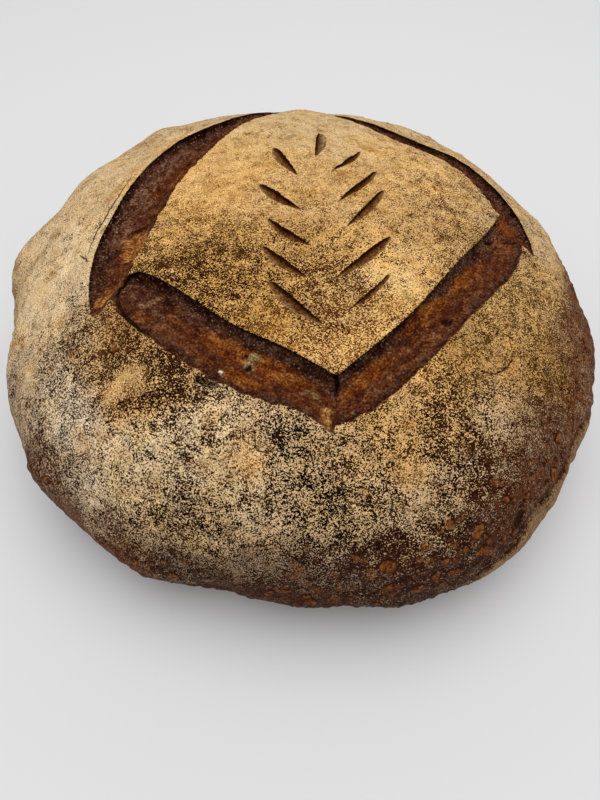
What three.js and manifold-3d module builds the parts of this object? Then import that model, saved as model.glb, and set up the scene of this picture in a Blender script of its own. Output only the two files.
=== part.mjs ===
// Sourdough loaf: a flat-bottomed round loaf, scored on top with four long gashes
// that frame a raised island of crust, and with a leaf of eleven short cuts on it.
// Millimetres, +Z up, origin on the table under the middle of the loaf.
// -Y is the front, where the two front gashes meet in a point.

import * as THREE from 'three';
import { mergeVertices } from 'three/addons/utils/BufferGeometryUtils.js';
import Module from 'manifold-3d';

// ---------------------------------------------------------------- driving dimensions

const DIAMETER = 260;          // mean width of the loaf at its belly
const HEIGHT = 100;            // table to the top of the crown
const BELLY_HEIGHT = 32;       // height of the widest level
const FOOT_RATIO = 0.87;       // foot width over belly width
const CROWN_POWER = 2.2;       // superellipse power of the crown, 2 is an ellipse

// How far the plan strays from a circle: [waves round the loaf, height mm, crest degrees]
const PLAN_WAVES = [
  [2, 3.9, -61],
  [3, 0.9, -46],
  [4, 1.5, 44],
  [5, 0.6, 10],
  [6, 0.9, -8],
];

// Lumps and hollows of the crust: [degrees round, height mm, rise mm, half-width mm]
const LUMPS = [
  [11, 72, 1.2, 10],
  [28, 74, -0.8, 12],
  [41, 80, 0.5, 9],
  [55, 82, -3.4, 10],
  [72, 84, 1.2, 10],
  [88, 84, 1.2, 8],
  [100, 84, -2.0, 10],
  [117, 82, 0.8, 9],
  [130, 82, 3.4, 12],
  [146, 79, 0.2, 10],
  [161, 65, -3.2, 13],
  [176, 60, 3.4, 13],
  [192, 51, -2.0, 10],
  [200, 60, 0.8, 7],
  [207, 50, 1.4, 10],
  [223, 44, 2.6, 11],
  [236, 36, 0.8, 9],
  [246, 28, 3.2, 13],
  [258, 27, -3.0, 8],
  [271, 21, 1.8, 10],
  [285, 26, 1.9, 10],
  [298, 30, -0.5, 12],
  [310, 43, -2.0, 8],
  [317, 49, 0.8, 8],
  [323, 50, -0.8, 7],
  [330, 54, 3.0, 8],
  [338, 60, 0.8, 8],
  [353, 64, -3.0, 9],
  [321, 36, -1.8, 10],
  [8, 40, 0.8, 12],
];

// Slow swelling of the whole crust: [waves per metre along X, along Y, height mm, turn]
const SWELLS = [
  [11, 5, 0.55, 0.4],
  [-6, 13, 0.5, 2.1],
  [17, -15, 0.3, 4.0],
];

// A gash runs between its lip, the deep side under the ear, and its flush side, where
// the torn crumb comes up to the crust. Both are plan points [x, y], in step. The drop
// from the lip to the floor is given at both ends, and hollow is the floor's sag.
const GASHES = [
  // back left
  {
    lip: [
      [-7, 84], [-32, 63], [-50, 47], [-62, 24], [-69, 1], [-73, -19], [-72.5, -36], [-70, -48],
    ],
    flush: [
      [-8, 81], [-26, 57], [-38, 35], [-46, 18], [-51, -2], [-55, -21], [-58.5, -36],
      [-67, -48],
    ],
    drop: [1.2, 1.2],
    hollow: 3.6,
    ear: 2.4,
    earWidth: 13,
    tapers: [true, true],
  },
  // back right
  {
    lip: [
      [17, 84], [37, 69], [56, 57], [72, 44], [83, 30], [90, 15], [93, 1], [94, -11],
    ],
    flush: [
      [20, 80], [40, 61], [56, 51], [69, 38], [78, 22], [82.5, 11], [84.5, 3], [88, -4],
      [93.5, -11],
    ],
    drop: [0.8, 0.8],
    hollow: 2.4,
    ear: 1.5,
    earWidth: 13,
    tapers: [true, true],
  },
  // front left
  {
    lip: [
      [-62, -42], [-59, -36], [-54, -34], [-43, -40], [-31, -49.5], [-19, -58.5], [-2, -67],
      [15.5, -77.5],
    ],
    flush: [
      [-61.5, -46], [-59, -50], [-55, -54], [-44, -63.5], [-28, -75], [-12, -83], [2, -87.5],
      [12.5, -93.5],
    ],
    drop: [1.6, 4.2],
    hollow: 2.8,
    ear: 1.2,
    earWidth: 9,
    tapers: [true, false],
  },
  // front right
  {
    lip: [
      [12.5, -77.5], [27, -65], [38, -54], [49, -40], [59, -26.5], [67.5, -15.5], [75.5, -4],
      [84, 11],
    ],
    flush: [
      [9.5, -93], [25, -87], [41, -73], [53, -60], [65, -46], [76, -33], [85, -20],
      [90.5, -4.5],
    ],
    drop: [4.2, 2.4],
    hollow: 2.8,
    ear: 1.2,
    earWidth: 9,
    tapers: [false, true],
  },
];

// The leaf, one cut a line: [outer end x, y, stem end x, y, width]
const LEAF_CUTS = [
  [11.0, 52.0, 8.5, 28.3, 4.4],
  [-8.8, 37.2, 1.3, 13.8, 4.4],
  [-13.5, 8.8, 2.6, -7.7, 4.4],
  [-9.8, -12.3, 6.3, -26.4, 3.4],
  [-11.2, -25.9, 4.8, -40.8, 3.8],
  [-8.5, -41.9, 9.8, -59.4, 4.4],
  [27.7, 36.9, 14.5, 17.5, 2.8],
  [33.0, 20.6, 16.0, -3.4, 3.2],
  [34.4, 6.1, 18.6, -17.2, 3.4],
  [35.1, -19.8, 14.1, -41.0, 3.8],
  [33.9, -37.2, 17.7, -53.9, 2.0],
];
const LEAF_CUT_DEPTH = 2;      // depth of a cut at its middle
const LEAF_CUT_OPEN = 1.05;    // how much wider a cut gapes than the knife left it
const LEAF_CUT_BOW = 1.2;      // how far a cut's middle bows to the front
const LEAF_CUT_WALL = 0.42;    // share of a cut's width that is its steep back wall
const LEAF_CUT_SKEW = 0.8;     // below 1 a cut is widest nearer its outer end
const LEAF_CUT_BLUNT = 0.75;   // below 1 its ends are blunter than a sine's

const LIP_JUT = 1;             // how far a gash's lip juts out over the gash
const UNDERCUT = 0.8;          // how far a gash reaches in under its lip
const TORN_STEP = 0.9;         // height of the torn crust edge at a gash's flush side
const FLOOR_SKEW = 0.8;        // below 1 the floor is deepest nearer the lip
const FLOOR_LEVEL = 0.7;       // share of the way over which the floor comes down to level
const FLOOR_SHARES = [0.12, 0.3, 0.5, 0.75, 1];  // where across the gash its floor bends
const TAPER = 0.3;             // share of a gash's length over which an end tapers
const TAPER_BLUNT = 0.7;       // below 1 a tapered end is blunter than a sine's

const EAR_JUT = 1.2;           // the ear's edge before the gash trims it
const EAR_HALFWAY = 0.6;       // share of the ear's rise that is left halfway down its back
const EAR_ROOT = 3;            // depth to which the ear is rooted in the crust

const END_LIFT = 1;            // a tapered end runs out this far over the crust
const CUT_END_LIFT = 0.4;      // the same for a cut of the leaf
const LEAST_FULL = 0.04;       // a tapered end keeps this share of its section
const CLEARANCE = 7;           // cutting tools stand this far out of the crust

// Fineness of the facets
const RINGS = 31;              // rings of facets from the crown to the foot
const PROFILE_STEPS = 400;     // steps that measure the length of the profile
const GASH_STEPS = 26;         // stations along a gash
const CUT_STEPS = 8;           // stations along a cut of the leaf
const WELD = 0.12;             // edges shorter than this are closed up

const CRUST = new THREE.MeshStandardMaterial({ color: 0xb58a52, roughness: 0.85, metalness: 0 });

// ---------------------------------------------------------------- the crust

function planRadius(angle) {
  let radius = DIAMETER / 2;
  for (const [waves, height, crest] of PLAN_WAVES) {
    radius += height * Math.cos(waves * (angle - THREE.MathUtils.degToRad(crest)));
  }
  return radius;
}

// The loaf's half section: x is the share of the plan radius, y the height. It runs
// from the middle of the crown over the belly to the edge of the foot.
class HalfSection extends THREE.Curve {
  getPoint(t, target = new THREE.Vector2()) {
    const crownShare = 0.8;
    if (t < crownShare) {
      const turn = (Math.PI / 2) * (t / crownShare);
      const width = Math.sin(turn) ** (2 / CROWN_POWER);
      const rise = Math.cos(turn) ** (2 / CROWN_POWER);
      return target.set(width, BELLY_HEIGHT + (HEIGHT - BELLY_HEIGHT) * rise);
    }
    const drop = (t - crownShare) / (1 - crownShare);
    return target.set(1 - (1 - FOOT_RATIO) * drop ** 2, BELLY_HEIGHT * (1 - drop));
  }
}

// Steps of equal length along the half section, in real millimetres
function evenProfile(count) {
  const section = new HalfSection();
  const points = section.getPoints(PROFILE_STEPS);
  const reach = [0];
  for (let i = 1; i < points.length; i += 1) {
    const across = (points[i].x - points[i - 1].x) * (DIAMETER / 2);
    reach.push(reach[i - 1] + Math.hypot(across, points[i].y - points[i - 1].y));
  }
  const profile = [];
  let i = 1;
  for (let k = 0; k <= count; k += 1) {
    const wanted = (reach[PROFILE_STEPS] * k) / count;
    while (i < PROFILE_STEPS && reach[i] < wanted) {
      i += 1;
    }
    const share = (wanted - reach[i - 1]) / (reach[i] - reach[i - 1]);
    profile.push(points[i - 1].clone().lerp(points[i], share));
  }
  return profile;
}

function crownHeight(share) {
  const inner = Math.max(0, 1 - share ** CROWN_POWER);
  return BELLY_HEIGHT + (HEIGHT - BELLY_HEIGHT) * inner ** (1 / CROWN_POWER);
}

// Share of the plan radius at a height, on the outside of the loaf
function shareAtHeight(height) {
  if (height < BELLY_HEIGHT) {
    return 1 - (1 - FOOT_RATIO) * (1 - height / BELLY_HEIGHT) ** 2;
  }
  const rise = (height - BELLY_HEIGHT) / (HEIGHT - BELLY_HEIGHT);
  return (1 - rise ** CROWN_POWER) ** (1 / CROWN_POWER);
}

function smoothPoint(angle, share, height) {
  const radius = planRadius(angle) * share;
  return new THREE.Vector3(radius * Math.cos(angle), radius * Math.sin(angle), height);
}

const lumps = LUMPS.map(([degrees, height, rise, reach]) => {
  const angle = THREE.MathUtils.degToRad(degrees);
  return { centre: smoothPoint(angle, shareAtHeight(height), height), rise, reach };
});

// How far the uneven crust stands out of the smooth form
function unevenness(point) {
  let out = 0;
  for (const lump of lumps) {
    out += lump.rise * Math.exp(-point.distanceToSquared(lump.centre) / lump.reach ** 2);
  }
  for (const [alongX, alongY, height, turn] of SWELLS) {
    out += height * Math.sin((2 * Math.PI * (alongX * point.x + alongY * point.y)) / 1000 + turn);
  }
  return out;
}

// Pushes a point of the smooth form out from the loaf's core; the foot stays flat
function roughen(point) {
  const core = new THREE.Vector3(0, 0, -HEIGHT / 2);
  const outward = point.clone().sub(core);
  outward.z *= THREE.MathUtils.smoothstep(point.z, 0, BELLY_HEIGHT);
  outward.normalize();
  const hold = THREE.MathUtils.smoothstep(point.z, -1, BELLY_HEIGHT / 2);
  return point.clone().addScaledVector(outward, unevenness(point) * hold);
}

// The crown over a place of the plan
function crownPoint(x, y) {
  const share = Math.hypot(x, y) / planRadius(Math.atan2(y, x));
  return roughen(new THREE.Vector3(x, y, crownHeight(share)));
}

function crownNormal(x, y) {
  const step = 1;
  const alongX = crownPoint(x + step, y).sub(crownPoint(x - step, y));
  const alongY = crownPoint(x, y + step).sub(crownPoint(x, y - step));
  return alongX.cross(alongY).normalize();
}

// ---------------------------------------------------------------- solids

function solid(wasm, positions, triangles) {
  const geometry = new THREE.BufferGeometry();
  geometry.setAttribute('position', new THREE.Float32BufferAttribute(positions, 3));
  geometry.setIndex(triangles);
  const merged = mergeVertices(geometry, 1e-4);
  const mesh = new wasm.Mesh({
    numProp: 3,
    vertProperties: Float32Array.from(merged.attributes.position.array),
    triVerts: Uint32Array.from(merged.index.array),
  });
  return new wasm.Manifold(mesh);
}

// The uncut loaf: ring k has 6k corners, so that all facets are about the same size
function uncutLoaf(wasm) {
  const profile = evenProfile(RINGS);
  const positions = [];
  const firstOfRing = [];
  for (let ring = 0; ring <= RINGS; ring += 1) {
    firstOfRing.push(positions.length / 3);
    const corners = Math.max(1, 6 * ring);
    for (let j = 0; j < corners; j += 1) {
      const { x: share, y: height } = profile[ring];
      const point = roughen(smoothPoint((2 * Math.PI * j) / corners, share, height));
      const flat = ring === RINGS ? 0 : point.z;
      positions.push(point.x, point.y, flat);
    }
  }

  const triangles = [];
  const corner = (ring, j) => firstOfRing[ring] + (ring === 0 ? 0 : j % (6 * ring));
  for (let ring = 1; ring <= RINGS; ring += 1) {
    for (let sector = 0; sector < 6; sector += 1) {
      for (let i = 0; i < ring; i += 1) {
        const outer = sector * ring + i;
        const inner = sector * (ring - 1) + i;
        triangles.push(corner(ring, outer), corner(ring, outer + 1), corner(ring - 1, inner));
        if (i < ring - 1) {
          triangles.push(
            corner(ring - 1, inner),
            corner(ring, outer + 1),
            corner(ring - 1, inner + 1),
          );
        }
      }
    }
  }

  const middle = positions.length / 3;
  positions.push(0, 0, 0);
  for (let j = 0; j < 6 * RINGS; j += 1) {
    triangles.push(middle, corner(RINGS, j + 1), corner(RINGS, j));
  }
  return solid(wasm, positions, triangles);
}

// A closed solid through sections of the same number of corners, flat at both ends
function loft(wasm, sections) {
  const corners = sections[0].length;
  const positions = sections.flat().flatMap((point) => point.toArray());
  const triangles = [];
  for (let s = 0; s + 1 < sections.length; s += 1) {
    for (let j = 0; j < corners; j += 1) {
      const a = s * corners + j;
      const b = s * corners + ((j + 1) % corners);
      triangles.push(a, b, a + corners);
      triangles.push(b, b + corners, a + corners);
    }
  }
  const last = (sections.length - 1) * corners;
  for (let j = 1; j + 1 < corners; j += 1) {
    triangles.push(0, j + 1, j);
    triangles.push(last, last + j, last + j + 1);
  }
  const made = solid(wasm, positions, triangles);
  if (made.volume() > 0) {
    return made;
  }
  const turned = [];
  for (let i = 0; i < triangles.length; i += 3) {
    turned.push(triangles[i], triangles[i + 2], triangles[i + 1]);
  }
  return solid(wasm, positions, turned);
}

function planCurve(points) {
  return new THREE.CatmullRomCurve3(points.map(([x, y]) => new THREE.Vector3(x, y, 0)));
}

// How much of a gash's full section is there: next to none at a tapered end, all of it
// past the taper, and all of it at an end where the gash meets another
function fade(t, [tapersAtStart, tapersAtEnd]) {
  const grow = (way) => Math.sin((Math.PI / 2) * Math.min(1, way / TAPER)) ** TAPER_BLUNT;
  const atStart = tapersAtStart ? grow(t) : 1;
  const atEnd = tapersAtEnd ? grow(1 - t) : 1;
  return Math.max(LEAST_FULL, Math.min(atStart, atEnd));
}

// A place over the crust: a plan point, moved along the plan, then up off the crust
function overCrust(place, forward, more, height) {
  const moved = place.clone().addScaledVector(forward, more);
  return crownPoint(moved.x, moved.y).addScaledVector(crownNormal(moved.x, moved.y), height);
}

// Sections across a gash. makeCorners gives the corners of a section as [share of the
// way from the lip to the flush side, mm more that way, height over the crust].
function gashSections(gash, makeCorners) {
  const lip = planCurve(gash.lip);
  const flush = planCurve(gash.flush);
  const sections = [];
  for (let s = 0; s <= GASH_STEPS; s += 1) {
    const t = s / GASH_STEPS;
    const lipPoint = lip.getPoint(t);
    const across = flush.getPoint(t).sub(lipPoint);
    const forward = across.clone().normalize();
    const corners = makeCorners(fade(t, gash.tapers), t);
    sections.push(corners.map(([share, more, height]) => (
      overCrust(lipPoint.clone().addScaledVector(across, share), forward, more, height)
    )));
  }
  return sections;
}

// What is torn open: a short undercut wall below the lip, and a hollow floor that ends
// in a low step at the flush side
function gashTool(wasm, gash) {
  return loft(wasm, gashSections(gash, (full, t) => {
    const clear = (1 - full) * END_LIFT;
    const rise = gash.ear * full;
    const drop = THREE.MathUtils.lerp(gash.drop[0], gash.drop[1], t) * full;
    const floor = (share) => {
      const level = 1 - THREE.MathUtils.smoothstep(share, 0, FLOOR_LEVEL);
      const sag = gash.hollow * Math.sin(Math.PI * share ** FLOOR_SKEW) + TORN_STEP * share;
      return clear + (rise - drop) * level - full * sag;
    };
    return [
      [0, LIP_JUT * full, CLEARANCE],
      [0, LIP_JUT * full, clear + rise],
      [0, -UNDERCUT * full, floor(0)],
      ...FLOOR_SHARES.map((share) => [share, 0, floor(share)]),
      [1, LIP_JUT / 2, CLEARANCE],
    ];
  }));
}

// The raised edge of crust along a gash's lip
function ear(wasm, gash) {
  return loft(wasm, gashSections(gash, (full) => {
    const sink = (1 - full) * END_LIFT;
    const rise = full * gash.ear;
    return [
      [0, EAR_JUT, rise - sink],
      [0, -gash.earWidth / 2, rise * EAR_HALFWAY - sink],
      [0, -gash.earWidth, -EAR_ROOT / 3 - sink],
      [0, -gash.earWidth / 2, -EAR_ROOT - sink],
      [0, EAR_JUT / 2, -EAR_ROOT - sink],
    ];
  }));
}

// One cut of the leaf: bowed, pointed at both ends, steep at the back and sloping in
// front. The tool widens upwards just as the cut does.
function leafTool(wasm, [outerX, outerY, stemX, stemY, width]) {
  const outer = new THREE.Vector3(outerX, outerY, 0);
  const stem = new THREE.Vector3(stemX, stemY, 0);
  const along = stem.clone().sub(outer).normalize();
  const front = new THREE.Vector3(-along.y, along.x, 0);
  if (front.y > 0) {
    front.negate();
  }
  const open = LEAF_CUT_OPEN * width;
  const sections = [];
  for (let s = 0; s <= CUT_STEPS; s += 1) {
    const t = s / CUT_STEPS;
    const gape = Math.max(0, Math.sin(Math.PI * t ** LEAF_CUT_SKEW)) ** LEAF_CUT_BLUNT;
    const half = (open / 2) * Math.max(gape, LEAST_FULL);
    const bottom = (1 - gape) * CUT_END_LIFT - LEAF_CUT_DEPTH * gape;
    const middle = outer.clone().lerp(stem, t);
    middle.addScaledVector(front, LEAF_CUT_BOW * Math.sin(Math.PI * t));
    sections.push([
      overCrust(middle, front, -half - open * LEAF_CUT_WALL, LEAF_CUT_DEPTH),
      overCrust(middle, front, half * (2 * LEAF_CUT_WALL - 1), bottom),
      overCrust(middle, front, half + open * (1 - LEAF_CUT_WALL), LEAF_CUT_DEPTH),
    ]);
  }
  return loft(wasm, sections);
}

// ---------------------------------------------------------------- the loaf

async function makeLoaf() {
  const wasm = await Module();
  wasm.setup();

  let body = uncutLoaf(wasm);
  for (const gash of GASHES) {
    body = body.add(ear(wasm, gash));
  }
  for (const gash of GASHES) {
    body = body.subtract(gashTool(wasm, gash));
  }
  for (const cut of LEAF_CUTS) {
    body = body.subtract(leafTool(wasm, cut));
  }

  const mesh = body.simplify(WELD).getMesh();
  const geometry = new THREE.BufferGeometry();
  geometry.setAttribute('position', new THREE.Float32BufferAttribute(mesh.vertProperties, 3));
  geometry.setIndex(new THREE.Uint32BufferAttribute(mesh.triVerts, 1));
  const facets = geometry.toNonIndexed();
  facets.computeVertexNormals();
  const loaf = new THREE.Mesh(facets, CRUST);
  loaf.name = 'loaf';
  return loaf;
}

const sourdough = new THREE.Group();
sourdough.name = 'sourdough_loaf';
sourdough.add(await makeLoaf());

export default sourdough;
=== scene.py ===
# Sourdough loaf: a floured round loaf with four long gashes round a raised island of
# crust, and a leaf of eleven short cuts on it. The crust is one dense closed mesh.
# All shapes are worked out in millimetres, +Z up, and turned into metres at the end.
import math

import bpy
import numpy as np
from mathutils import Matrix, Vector


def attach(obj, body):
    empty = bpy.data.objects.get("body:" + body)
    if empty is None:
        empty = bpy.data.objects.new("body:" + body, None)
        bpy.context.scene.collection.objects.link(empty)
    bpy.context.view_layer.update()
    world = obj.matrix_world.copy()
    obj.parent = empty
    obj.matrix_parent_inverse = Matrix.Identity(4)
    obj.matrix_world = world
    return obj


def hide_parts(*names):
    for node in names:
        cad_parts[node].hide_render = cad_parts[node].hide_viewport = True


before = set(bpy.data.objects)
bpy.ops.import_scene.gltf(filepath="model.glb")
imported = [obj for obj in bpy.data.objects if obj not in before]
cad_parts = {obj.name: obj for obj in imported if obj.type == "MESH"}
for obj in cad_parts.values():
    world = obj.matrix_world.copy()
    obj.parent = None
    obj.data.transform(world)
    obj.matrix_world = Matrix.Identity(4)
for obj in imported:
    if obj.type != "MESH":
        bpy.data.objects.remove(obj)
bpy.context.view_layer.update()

METRE = 0.001                  # metres in a millimetre

# ------------------------------------------------------------ driving dimensions, mm
# The form, the gashes and the cuts are those of the CAD solid.

DIAMETER = 260.0               # mean width of the loaf at its belly
HEIGHT = 100.0                 # table to the top of the crown
BELLY_HEIGHT = 32.0            # height of the widest level
FOOT_RATIO = 0.87              # foot width over belly width
CROWN_POWER = 2.2              # superellipse power of the crown, 2 is an ellipse
CROWN_SHARE = 0.8              # the crown's share of the half section's parameter

# How far the plan strays from a circle: [waves round the loaf, height, crest degrees]
PLAN_WAVES = [(2, 3.9, -61), (3, 0.9, -46), (4, 1.5, 44), (5, 0.6, 10), (6, 0.9, -8)]

# Lumps and hollows: [degrees round, height, rise, half-width]
LUMPS = [
    (11, 72, 1.2, 10), (28, 74, -0.8, 12), (41, 80, 0.5, 9), (55, 82, -3.4, 10),
    (72, 84, 1.2, 10), (88, 84, 1.2, 8), (100, 84, -2.0, 10), (117, 82, 0.8, 9),
    (130, 82, 3.4, 12), (146, 79, 0.2, 10), (161, 65, -3.2, 13), (176, 60, 3.4, 13),
    (192, 51, -2.0, 10), (200, 60, 0.8, 7), (207, 50, 1.4, 10), (223, 44, 2.6, 11),
    (236, 36, 0.8, 9), (246, 28, 3.2, 13), (258, 27, -3.0, 8), (271, 21, 1.8, 10),
    (285, 26, 1.9, 10), (298, 30, -0.5, 12), (310, 43, -2.0, 8), (317, 49, 0.8, 8),
    (323, 50, -0.8, 7), (330, 54, 3.0, 8), (338, 60, 0.8, 8), (353, 64, -3.0, 9),
    (321, 36, -1.8, 10), (8, 40, 0.8, 12),
]

# Slow swelling of the whole crust: [waves per metre along X, along Y, height, turn]
SWELLS = [(11, 5, 0.55, 0.4), (-6, 13, 0.5, 2.1), (17, -15, 0.3, 4.0)]

# Each gash: plan points of its lip, under the raised ear, and of its flush side; the
# floor's sag and, at both ends, its drop from the lip; the ear's rise and width; which
# ends taper; how dark the painted shade on the floor under the lip is, and how dark the flush
# side's brink is
GASHES = [
    {   # back left
        "lip": [(-7, 84), (-32, 63), (-50, 47), (-62, 24), (-69, 1), (-73, -19),
                (-72.5, -36), (-70, -48)],
        "flush": [(-8, 81), (-26, 57), (-38, 35), (-46, 18), (-51, -2), (-55, -21),
                  (-58.5, -36), (-67, -48)],
        "hollow": 3.6, "drop": (1.2, 1.2), "ear": 2.4, "ear_width": 13.0,
        "tapers": (True, True), "lip_shade_darkness": 0.45, "brink": 0.0,
    },
    {   # back right
        "lip": [(17, 84), (37, 69), (56, 57), (72, 44), (83, 30), (90, 15), (93, 1),
                (94, -11)],
        "flush": [(20, 80), (40, 61), (56, 51), (69, 38), (78, 22), (82.5, 11), (84.5, 3),
                  (88, -4), (93.5, -11)],
        "hollow": 2.4, "drop": (0.8, 0.8), "ear": 1.5, "ear_width": 13.0,
        "tapers": (True, True), "lip_shade_darkness": 0.5, "brink": 0.3,
    },
    {   # front left
        "lip": [(-62, -42), (-59, -36), (-54, -34), (-43, -40), (-31, -49.5),
                (-19, -58.5), (-2, -67), (15.5, -77.5)],
        "flush": [(-61.5, -46), (-59, -50), (-55, -54), (-44, -63.5), (-28, -75),
                  (-12, -83), (2, -87.5), (12.5, -93.5)],
        "hollow": 2.8, "drop": (1.6, 4.2), "ear": 1.2, "ear_width": 9.0,
        "tapers": (True, False), "lip_shade_darkness": 0.9, "brink": 0.35,
    },
    {   # front right
        "lip": [(12.5, -77.5), (27, -65), (38, -54), (49, -40), (59, -26.5),
                (67.5, -15.5), (75.5, -4), (84, 11)],
        "flush": [(9.5, -93), (25, -87), (41, -73), (53, -60), (65, -46), (76, -33),
                  (85, -20), (90.5, -4.5)],
        "hollow": 2.8, "drop": (4.2, 2.4), "ear": 1.2, "ear_width": 9.0,
        "tapers": (False, True), "lip_shade_darkness": 0.9, "brink": 0.9,
    },
]
TORN_STEP = 0.9                # height of the torn crust edge at the flush side
UNDERCUT = 0.8                 # how far the floor reaches in under the ear
LIP_JUT = 1.0                  # how far the lip juts out over the gash
JUT_FADE = 1.4                 # how soon the crust behind the lip stops jutting
FLOOR_SKEW = 0.8               # below 1 the floor is deepest nearer the lip
FLOOR_LEVEL = 0.7              # share of the way over which the floor comes down to level
WALL_WIDTH = 1.2               # width of the wall under the lip, and of the painted shade there
WALL_SHARE = 0.25              # the most of a gash's width that the wall takes
TAPER = 0.3                    # share of a gash's length over which an end tapers
TAPER_BLUNT = 0.7              # below 1 a tapered end is blunter than a sine's
EAR_DOME = 1.3                 # above 1 the ear's back is domed
RAGGED = 0.7                   # how far the torn flush side strays from its curve
BAY = 5.0                      # size of the bays of that ragged edge
GASH_MARGIN = 16.0             # how far outside its corners a gash can move the crust

# The leaf, one cut a line: outer end x, y, stem end x, y, width
LEAF_CUTS = [
    (11.0, 52.0, 8.5, 28.3, 4.4), (-8.8, 37.2, 1.3, 13.8, 4.4),
    (-13.5, 8.8, 2.6, -7.7, 4.4), (-9.8, -12.3, 6.3, -26.4, 3.4),
    (-11.2, -25.9, 4.8, -40.8, 3.8), (-8.5, -41.9, 9.8, -59.4, 4.4),
    (27.7, 36.9, 14.5, 17.5, 2.8), (33.0, 20.6, 16.0, -3.4, 3.2),
    (34.4, 6.1, 18.6, -17.2, 3.4), (35.1, -19.8, 14.1, -41.0, 3.8),
    (33.9, -37.2, 17.7, -53.9, 2.0),
]
LEAF_CUT_DEPTH = 2.0           # depth of a cut at its middle
LEAF_CUT_OPEN = 1.05           # how much wider a cut gapes than the knife left it
LEAF_CUT_BOW = 1.2             # how far a cut's middle bows to the front
LEAF_CUT_WALL = 0.42           # share of a cut's width that is its steep back wall
LEAF_CUT_SKEW = 0.8            # below 1 a cut is widest nearer its outer end
LEAF_CUT_BLUNT = 0.75          # below 1 its ends are blunter than a sine's
LEAF_CUT_DOME = 1.3            # above 1 its slope is domed
LEAF_CUT_WAVER = 0.16          # how unevenly wide it is, as a share of its width
LEAF_CUT_RIM = 0.35            # how far the crust curls up round it

# ------------------------------------------------------------ mesh fineness
# Rings of the crust, from the middle of the crown: [arc length reached, rings to it]
RING_ZONES = [(0, 0), (66, 120), (120, 197)]
RINGS = 288
CROWN_ARC = 150.0              # arc length up to which the crust is a height over the plan
GASH_STEPS = 120               # points along a gash's drawn lip and flush side
FOOT_RINGS = [0.992, 0.975, 0.955]     # outermost rings of the underside, 1 is its edge
FOOT_STEP = 2.6                # step between its other rings
FOOT_CORNER = 1.5              # step between the corners of a ring
FOOT_ROUND = 4.0               # radius of the rounded edge of the foot
FOOT_RADIUS = DIAMETER / 2 * FOOT_RATIO

# ------------------------------------------------------------ single features, mm
# Places in the torn floors: plan x, y, half-length, half-width, turn in degrees, tone,
# strength, and how far the place stands out; the sunk near-black ones are holes and pits
# darkened with painted shade
SPOTS = [
    (-62, 6, 26, 5, 72, "plum", 0.65, 0), (-52, 36, 20, 5, 50, "plum", 0.5, 0),
    (-52, -48, 10, 8, -40, "grape", 0.6, 0), (-60.2, -16, 8.5, 5.4, 78, "gold", 0.95, -1.8),
    (-59.5, -6.5, 6, 1.8, 15, "blackish_red", 0.9, 0.8),
    (-56.8, -17.5, 5.5, 1.8, 75, "tan", 0.6, 0.2),
    (-56.2, 17.6, 4.2, 2.2, 60, "amber", 0.8, -1),
    (-54.6, 20.8, 3.2, 1, 20, "blackish_red", 0.7, 0.4),
    (-67.3, -40.5, 5.5, 2.8, 60, "gold", 0.8, -0.6), (-48, 22, 7, 3, 60, "amber", 0.6, 0),
    (-52.1, -51.1, 4, 2.5, 0, "amber", 0.45, 0), (-50, -45.5, 5, 1.2, 25, "clay", 0.4, 0.6),
    (-22, -65, 14, 5, -35, "amber", 0.55, 0), (-5, -74, 15, 6, -28, "amber", 0.55, 0.5),
    (-8.4, -71.5, 9, 2.6, -28, "amber", 0.7, 0.3),
    (-16.2, -77.2, 8, 2.6, -28, "amber", 0.65, 0),
    (-13.8, -70.6, 2.6, 4, -20, "crumb", 0.9, 0.9), (-15.5, -68.1, 1, 0.8, 0, "painted_shade_black", 1, -1),
    (-14.7, -73.1, 1.5, 1.1, 0, "painted_shade_black", 1, -1.2),
    (-23.3, -74.2, 0.9, 0.7, 0, "flour", 1, 0.4),
    (6, -81.6, 3.6, 1.2, -20, "crumb", 0.7, 0.3), (10.4, -89.5, 2.2, 4.6, 0, "tan", 0.6, 0.5),
    (24, -76, 13, 4, 40, "amber", 0.6, 0.4), (45, -52, 15, 3.6, 46, "amber", 0.8, 0.5),
    (64, -30, 14, 3.2, 52, "amber", 0.8, 0.6), (52.7, -54.5, 3, 1.6, 30, "blackish_red", 1, -1.3),
    (84, 3, 5.5, 6.5, 0, "ember", 0.9, 0.4), (80.3, 2.4, 1.6, 1.2, 0, "painted_shade_black", 0.9, -0.9),
    (81.8, -1.6, 1.4, 1, 0, "blackish_red", 0.9, -0.8), (76.5, -8, 3, 1.4, 30, "blackish_red", 0.8, -0.8),
]
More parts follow.
